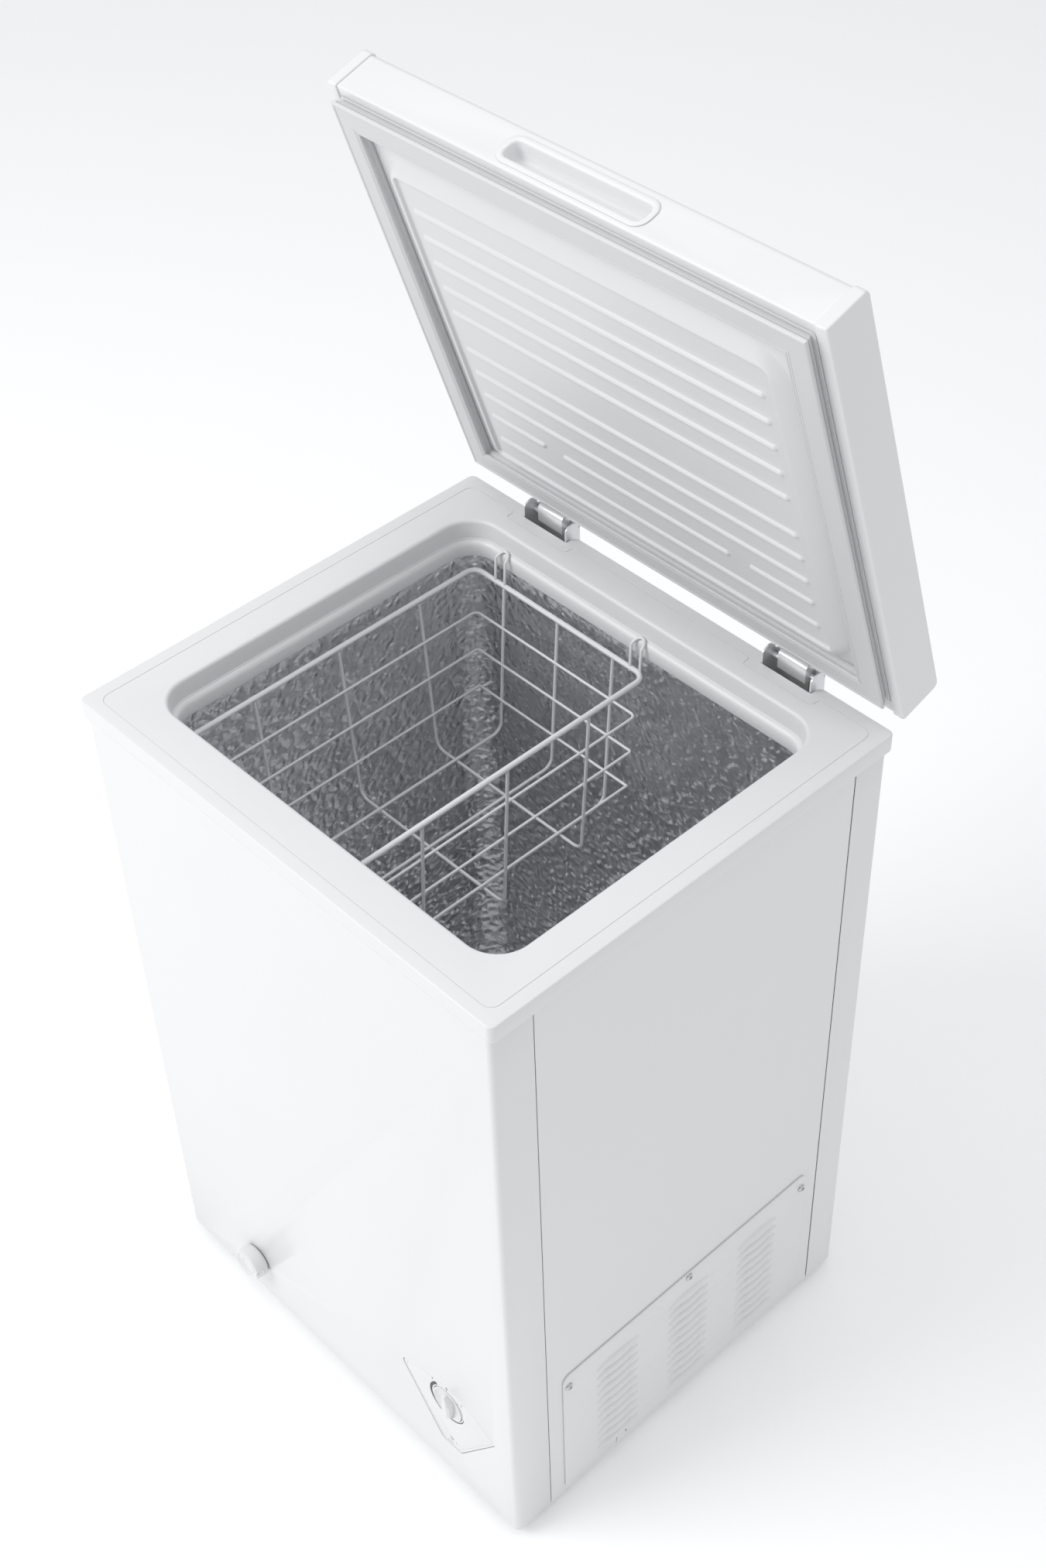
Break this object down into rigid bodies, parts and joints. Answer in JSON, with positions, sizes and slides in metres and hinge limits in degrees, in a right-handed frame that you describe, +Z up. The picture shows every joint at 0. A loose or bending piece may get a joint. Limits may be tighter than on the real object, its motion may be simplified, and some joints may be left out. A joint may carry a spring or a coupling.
{
  "type": "chest freezer",
  "caption": "Small white upright-cornered chest freezer with a hinged insulated lid, hanging wire basket, side louvre cover, front thermostat dial and front drain cap.",
  "frame": {"origin": "middle of the footprint, with the lid open as at rest, on the plane that the feet stand on", "axes": "+Z up; +X to the freezer's right as seen from the front; the front, with the dial and the drain cap, faces -Y"},
  "size_m": [0.5458, 0.5452, 1.2715],
  "materials": {
    "white_paint": "gloss",
    "white_plastic": "satin",
    "white_dial": "gloss",
    "lid_liner_plastic": "satin",
    "embossed_aluminium": "satin",
    "foam": "matte",
    "zinc_steel": "satin",
    "chrome": "polished",
    "black_paint": "satin",
    "black_plastic": "matte",
    "copper": "satin",
    "rubber": "matte",
    "gasket_vinyl": "satin",
    "coated_wire": "gloss",
    "clear_lens": "gloss"
  },
  "bodies": {
    "cabinet": {"back_panel": "white_paint", "base_plate": "zinc_steel", "cable_gland": "rubber", "capillary_tube": "copper", "collar": "white_plastic", "compartment_shield": "zinc_steel", "compressor": "black_paint", "compressor_grommet_1": "rubber", "compressor_grommet_2": "rubber", "compressor_grommet_3": "rubber", "compressor_grommet_4": "rubber", "condenser_coil": "copper", "control_panel": "white_plastic", "discharge_tube": "copper", "drain_tube": "white_plastic", "evaporator_coil": "copper", "filter_drier": "copper", "foot_back_left": "rubber", "foot_back_right": "rubber", "foot_front_left": "rubber", "foot_front_right": "rubber", "front_panel": "white_paint", "hinge_housing_left": "zinc_steel", "hinge_housing_right": "zinc_steel", "hinge_pin_left": "chrome", "hinge_pin_right": "chrome", "hinge_screw_left_1": "zinc_steel", "hinge_screw_left_2": "zinc_steel", "hinge_screw_right_1": "zinc_steel", "hinge_screw_right_2": "zinc_steel", "hinge_spring_left": "zinc_steel", "hinge_spring_right": "zinc_steel", "indicator_lens": "clear_lens", "inner_liner": "embossed_aluminium", "relay_box": "black_plastic", "side_panel_left": "white_paint", "side_panel_right": "white_paint", "suction_tube": "copper", "supply_lead": "black_plastic", "thermostat_body": "black_plastic", "thermostat_lead": "black_plastic", "thermostat_sensor": "copper", "tub_insulation": "foam", "vent_cover": "white_paint", "vent_screw_1": "zinc_steel", "vent_screw_2": "zinc_steel", "vent_screw_3": "zinc_steel"},
    "lid": {"lid_skin": "white_paint", "lid_insulation": "foam", "lid_liner": "lid_liner_plastic", "lid_gasket": "gasket_vinyl", "lid_cap_left": "white_plastic", "lid_cap_right": "white_plastic", "lid_grip": "white_plastic", "hinge_leaf_left": "chrome", "hinge_leaf_right": "chrome"},
    "dial": {"thermostat_knob": "white_dial"},
    "basket": {"wire_basket": "coated_wire"},
    "outer_cap": {"drain_cap": "white_plastic"},
    "inner_plug": {"drain_plug": "rubber"}
  },
  "joints": [
    {"name": "lid_hinge", "type": "hinge", "parent": "cabinet", "child": "lid", "pos_m": [0, 0.22261, 0.79485], "axis": [-1, 0, 0], "range_deg": [-72.3, 8]},
    {"name": "dial_turn", "type": "hinge", "parent": "cabinet", "child": "dial", "pos_m": [0.1705, -0.255, 0.137], "axis": [0, 1, 0], "range_deg": [0, 315]},
    {"name": "basket_lift", "type": "slide", "parent": "cabinet", "child": "basket", "axis": [0, 0, 1], "range_m": [0, 0.15]},
    {"name": "outer_cap_pull", "type": "slide", "parent": "cabinet", "child": "outer_cap", "axis": [0, -1, 0], "range_m": [0, 0.04]},
    {"name": "inner_plug_pull", "type": "slide", "parent": "cabinet", "child": "inner_plug", "axis": [0, 0, 1], "range_m": [0, 0.06]}
  ]
}
